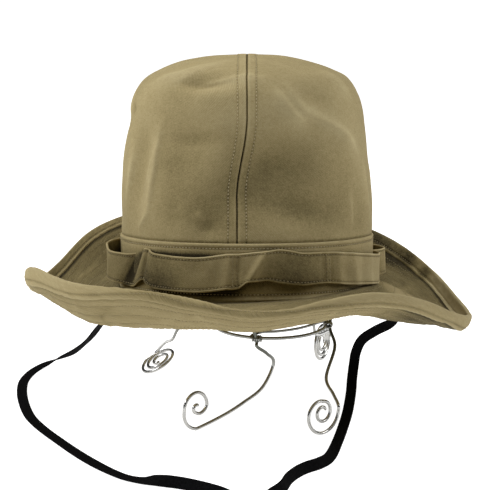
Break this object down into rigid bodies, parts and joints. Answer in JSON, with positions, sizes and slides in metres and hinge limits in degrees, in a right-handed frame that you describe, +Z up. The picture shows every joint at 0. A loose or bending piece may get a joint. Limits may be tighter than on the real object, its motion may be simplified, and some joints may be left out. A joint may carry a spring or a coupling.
{
  "type": "bush hat on wire stand",
  "caption": "Soft khaki cotton bush hat with a centre-seamed crown, loop strip, curled wide brim and flat black chin strap, tilted back on a bent wire hat stand.",
  "frame": {"origin": "on the floor under the middle of the hat, at the middle of the bounding box of the hat and its stand", "axes": "+Z up; -Y towards the front of the hat, +X towards the wearer's left"},
  "size_m": [0.3394, 0.3595, 0.2566],
  "materials": {
    "khaki_cotton": "matte twill",
    "black_tape": "matte",
    "silver_wire": "satin"
  },
  "bodies": {
    "root": {"crown_left": "khaki_cotton", "crown_right": "khaki_cotton", "crown_band": "khaki_cotton", "loop_strip": "khaki_cotton", "brim": "khaki_cotton", "brim_hem": "khaki_cotton", "chin_strap": "black_tape", "stand_wire_front": "silver_wire", "stand_wire_side": "silver_wire", "stand_ring": "silver_wire"}
  },
  "joints": []
}
